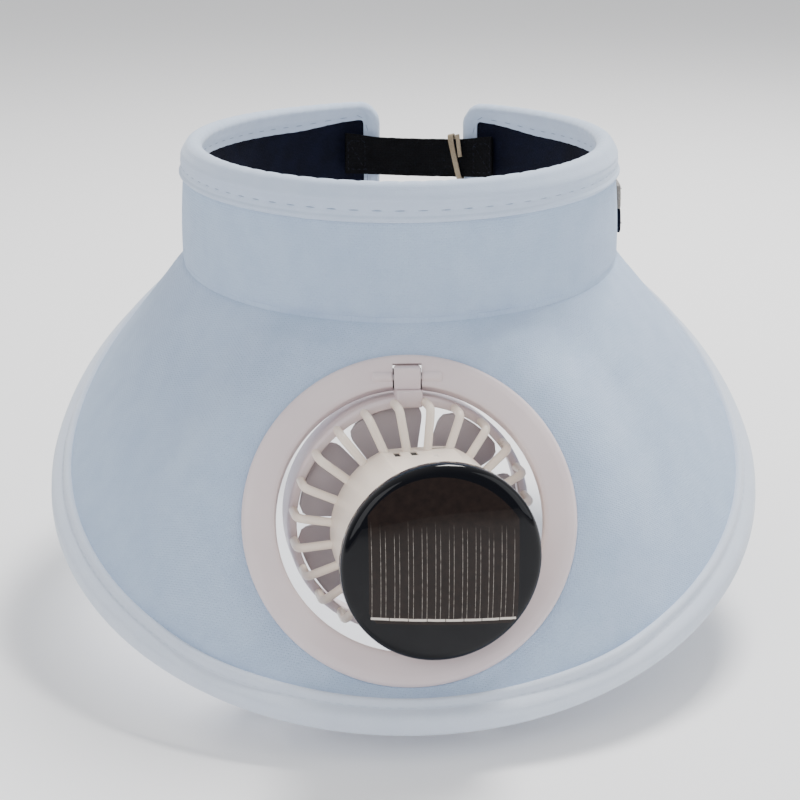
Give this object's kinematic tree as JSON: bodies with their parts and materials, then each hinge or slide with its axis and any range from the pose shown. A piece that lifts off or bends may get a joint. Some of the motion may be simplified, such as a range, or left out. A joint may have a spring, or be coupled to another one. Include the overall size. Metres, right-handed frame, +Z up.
{
  "type": "solar fan hat",
  "caption": "Open-crown sun hat in pale blue cloth with a wide sloping brim, a strap closing the band behind, and a solar-powered fan on a hinge in the brim's front.",
  "frame": {"origin": "middle of the head band at the seam between band and brim, where the head carries the hat", "axes": "+Z up along the band, +Y towards the back of the hat, -Y towards the fan, +X towards the side tab"},
  "size_m": [0.2448, 0.2735, 0.147],
  "materials": {
    "pale_cloth": "plain-woven matte cloth",
    "pale_tape": "smooth binding tape with a soft sheen",
    "navy_cloth": "matte lining cloth",
    "black_webbing": "woven strap",
    "tan_tape": "fuzzy tape",
    "white_plastic": "satin moulded",
    "mauve_plastic": "satin moulded",
    "black_glass": "clear resin over a dark cell",
    "steel": "plain wire"
  },
  "bodies": {
    "hat": {"crown_band": "pale_cloth", "sweatband": "navy_cloth", "band_binding": "pale_tape", "brim": "pale_cloth", "brim_binding": "pale_tape", "rear_strap": "black_webbing", "strap_keeper": "tan_tape", "side_tab": "navy_cloth", "side_tab_pad": "tan_tape", "fan_bezel": "white_plastic", "hinge_pin": "steel"},
    "fan_arm": {"hinge_knuckle": "white_plastic"},
    "fan_head": {"fan_guard": "white_plastic", "solar_panel": "black_glass"},
    "rotor": {"impeller": "mauve_plastic"}
  },
  "joints": [
    {"name": "fan_tilt", "type": "hinge", "parent": "hat", "child": "fan_arm", "pos_m": [0, -0.1104, -0.0149], "axis": [1, 0, 0], "range_deg": [-45, 0]},
    {"name": "fan_swivel", "type": "hinge", "parent": "fan_arm", "child": "fan_head", "pos_m": [0, -0.1104, -0.0149], "axis": [0, 0.1045, 0.9945], "range_deg": [-24.1, 2.9]},
    {"name": "rotor_spin", "type": "hinge", "parent": "fan_head", "child": "rotor", "pos_m": [0, -0.115, -0.05865], "axis": [0.184, -0.9776, 0.1027], "continuous": true}
  ]
}
